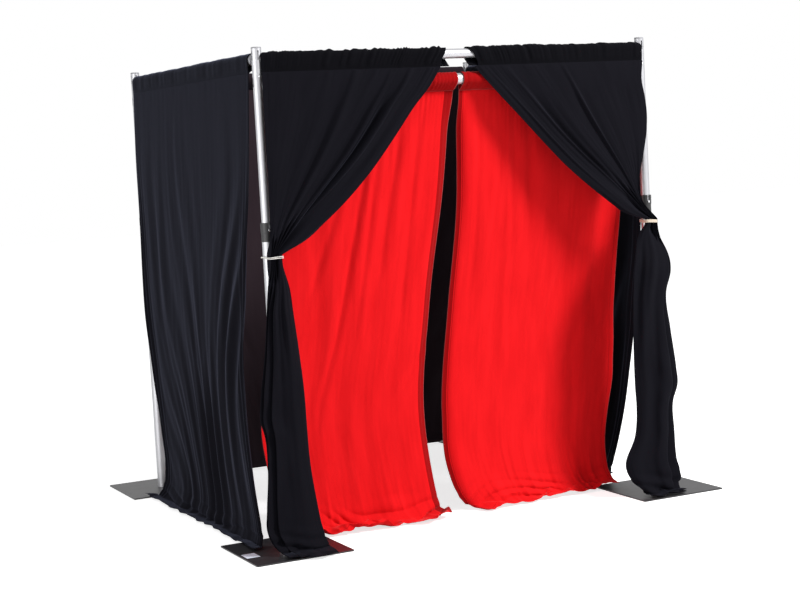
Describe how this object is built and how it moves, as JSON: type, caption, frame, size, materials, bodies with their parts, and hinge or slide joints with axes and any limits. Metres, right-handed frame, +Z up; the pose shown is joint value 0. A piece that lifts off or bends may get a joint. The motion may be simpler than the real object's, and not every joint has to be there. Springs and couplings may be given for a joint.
{
  "type": "pipe and drape backdrop",
  "caption": "Draped booth of telescopic uprights on flat bases with hooked crossbars, black drapes on its sides, tied-back front drapes and red inner curtains.",
  "frame": {"origin": "on the floor, midway between the four uprights", "axes": "+Z up, the front with the entrance faces -Y, +X to the right as seen from the front"},
  "size_m": [2.437, 2.207, 2.21],
  "materials": {
    "tube_aluminium": "satin, clear anodised",
    "cap_grey": "moulded, matte",
    "collar_black": "moulded, half gloss",
    "button_chrome": "polished",
    "base_steel": "dark powder coat, worn",
    "pin_steel": "zinc plated",
    "hook_steel": "zinc plated",
    "black_cloth": "soft velour",
    "red_cloth": "soft velour",
    "tie_white": "twisted cotton cord",
    "tie_beige": "woven band",
    "label_pale": "blank paper"
  },
  "bodies": {
    "front_left_stand": {"front_left_base_plate": "base_steel", "front_left_base_pin": "pin_steel", "front_left_lower_tube": "tube_aluminium", "front_left_collar": "collar_black", "blank_label": "label_pale"},
    "front_left_mast": {"front_left_upper_tube": "tube_aluminium", "front_left_top_cap": "cap_grey"},
    "front_left_button": {"front_left_snap_button": "button_chrome"},
    "front_right_stand": {"front_right_base_plate": "base_steel", "front_right_base_pin": "pin_steel", "front_right_lower_tube": "tube_aluminium", "front_right_collar": "collar_black"},
    "front_right_mast": {"front_right_upper_tube": "tube_aluminium", "front_right_top_cap": "cap_grey"},
    "front_right_button": {"front_right_snap_button": "button_chrome"},
    "back_left_stand": {"back_left_base_plate": "base_steel", "back_left_base_pin": "pin_steel", "back_left_lower_tube": "tube_aluminium", "back_left_collar": "collar_black"},
    "back_left_mast": {"back_left_upper_tube": "tube_aluminium", "back_left_top_cap": "cap_grey"},
    "back_left_button": {"back_left_snap_button": "button_chrome"},
    "back_right_stand": {"back_right_base_plate": "base_steel", "back_right_base_pin": "pin_steel", "back_right_lower_tube": "tube_aluminium", "back_right_collar": "collar_black"},
    "back_right_mast": {"back_right_upper_tube": "tube_aluminium", "back_right_top_cap": "cap_grey"},
    "back_right_button": {"back_right_snap_button": "button_chrome"},
    "front_bar_outer": {"front_bar_outer_tube": "tube_aluminium", "front_bar_near_hook": "hook_steel", "front_left_drape": "black_cloth", "left_tie_cord": "tie_white"},
    "front_bar_inner": {"front_bar_inner_tube": "tube_aluminium", "front_bar_far_hook": "hook_steel", "front_right_drape": "black_cloth", "right_tie_band": "tie_beige"},
    "red_bar_outer": {"red_bar_outer_tube": "tube_aluminium", "red_bar_near_hook": "hook_steel"},
    "red_bar_inner": {"red_bar_inner_tube": "tube_aluminium", "red_bar_far_hook": "hook_steel"},
    "red_left": {"red_left_curtain": "red_cloth"},
    "red_right": {"red_right_curtain": "red_cloth"},
    "left_bar_outer": {"left_bar_outer_tube": "tube_aluminium", "left_bar_near_hook": "hook_steel", "left_wall_drape": "black_cloth"},
    "left_bar_inner": {"left_bar_inner_tube": "tube_aluminium", "left_bar_far_hook": "hook_steel"},
    "right_bar_outer": {"right_bar_outer_tube": "tube_aluminium", "right_bar_near_hook": "hook_steel", "right_wall_drape": "black_cloth"},
    "right_bar_inner": {"right_bar_inner_tube": "tube_aluminium", "right_bar_far_hook": "hook_steel"},
    "back_bar_outer": {"back_bar_outer_tube": "tube_aluminium", "back_bar_near_hook": "hook_steel", "back_wall_drape": "black_cloth"},
    "back_bar_inner": {"back_bar_inner_tube": "tube_aluminium", "back_bar_far_hook": "hook_steel"}
  },
  "joints": [
    {"name": "front_left_raise", "type": "slide", "parent": "front_left_stand", "child": "front_left_mast", "axis": [0, 0, 1], "range_m": [0, 0.35]},
    {"name": "front_right_raise", "type": "slide", "parent": "front_right_stand", "child": "front_right_mast", "axis": [0, 0, 1], "range_m": [0, 0.35]},
    {"name": "back_left_raise", "type": "slide", "parent": "back_left_stand", "child": "back_left_mast", "axis": [0, 0, 1], "range_m": [0, 0.35]},
    {"name": "back_right_raise", "type": "slide", "parent": "back_right_stand", "child": "back_right_mast", "axis": [0, 0, 1], "range_m": [0, 0.35]},
    {"name": "booth_width", "type": "slide", "parent": "front_left_stand", "child": "front_right_stand", "axis": [1, 0, 0], "range_m": [0, 0.3]},
    {"name": "booth_depth", "type": "slide", "parent": "front_left_stand", "child": "back_left_stand", "axis": [0, 1, 0], "range_m": [0, 0.3]},
    {"name": "back_right_width", "type": "slide", "parent": "back_left_stand", "child": "back_right_stand", "axis": [1, 0, 0], "range_m": [0, 0.3]},
    {"name": "front_left_press", "type": "slide", "parent": "front_left_mast", "child": "front_left_button", "axis": [0, 1, 0], "range_m": [0, 0.01], "stiffness_N_per_m": 600, "springref_m": -0.004},
    {"name": "front_right_press", "type": "slide", "parent": "front_right_mast", "child": "front_right_button", "axis": [0, 1, 0], "range_m": [0, 0.01], "stiffness_N_per_m": 600, "springref_m": -0.004},
    {"name": "back_left_press", "type": "slide", "parent": "back_left_mast", "child": "back_left_button", "axis": [0, 1, 0], "range_m": [0, 0.01], "stiffness_N_per_m": 600, "springref_m": -0.004},
    {"name": "back_right_press", "type": "slide", "parent": "back_right_mast", "child": "back_right_button", "axis": [0, 1, 0], "range_m": [0, 0.01], "stiffness_N_per_m": 600, "springref_m": -0.004},
    {"name": "front_bar_lift", "type": "slide", "parent": "front_left_mast", "child": "front_bar_outer", "axis": [0, 0, 1], "range_m": [0, 0.02]},
    {"name": "front_bar_reach", "type": "slide", "parent": "front_bar_outer", "child": "front_bar_inner", "axis": [1, 0, 0], "range_m": [0, 0.3]},
    {"name": "red_bar_lift", "type": "slide", "parent": "front_left_mast", "child": "red_bar_outer", "axis": [0, 0, 1], "range_m": [0, 0.02]},
    {"name": "red_bar_reach", "type": "slide", "parent": "red_bar_outer", "child": "red_bar_inner", "axis": [1, 0, 0], "range_m": [0, 0.3]},
    {"name": "left_bar_lift", "type": "slide", "parent": "front_left_mast", "child": "left_bar_outer", "axis": [0, 0, 1], "range_m": [0, 0.02]},
    {"name": "left_bar_reach", "type": "slide", "parent": "left_bar_outer", "child": "left_bar_inner", "axis": [0, 1, 0], "range_m": [0, 0.3]},
    {"name": "right_bar_lift", "type": "slide", "parent": "front_right_mast", "child": "right_bar_outer", "axis": [0, 0, 1], "range_m": [0, 0.02]},
    {"name": "right_bar_reach", "type": "slide", "parent": "right_bar_outer", "child": "right_bar_inner", "axis": [0, 1, 0], "range_m": [0, 0.3]},
    {"name": "back_bar_lift", "type": "slide", "parent": "back_left_mast", "child": "back_bar_outer", "axis": [0, 0, 1], "range_m": [0, 0.02]},
    {"name": "back_bar_reach", "type": "slide", "parent": "back_bar_outer", "child": "back_bar_inner", "axis": [1, 0, 0], "range_m": [0, 0.3]},
    {"name": "red_left_draw", "type": "slide", "parent": "red_bar_outer", "child": "red_left", "axis": [1, 0, 0], "range_m": [-0.5, 0], "deforming": ["red_left_curtain"]},
    {"name": "red_right_draw", "type": "slide", "parent": "red_bar_inner", "child": "red_right", "axis": [1, 0, 0], "range_m": [0, 0.5], "deforming": ["red_right_curtain"]}
  ],
  "couplings": [
    {"joint": "front_right_raise", "follows": "front_left_raise", "ratio": 1},
    {"joint": "back_left_raise", "follows": "front_left_raise", "ratio": 1},
    {"joint": "back_right_raise", "follows": "front_left_raise", "ratio": 1},
    {"joint": "back_right_width", "follows": "booth_width", "ratio": 1},
    {"joint": "front_bar_reach", "follows": "booth_width", "ratio": 1},
    {"joint": "red_bar_reach", "follows": "booth_width", "ratio": 1},
    {"joint": "back_bar_reach", "follows": "booth_width", "ratio": 1},
    {"joint": "left_bar_reach", "follows": "booth_depth", "ratio": 1},
    {"joint": "right_bar_reach", "follows": "booth_depth", "ratio": 1}
  ]
}
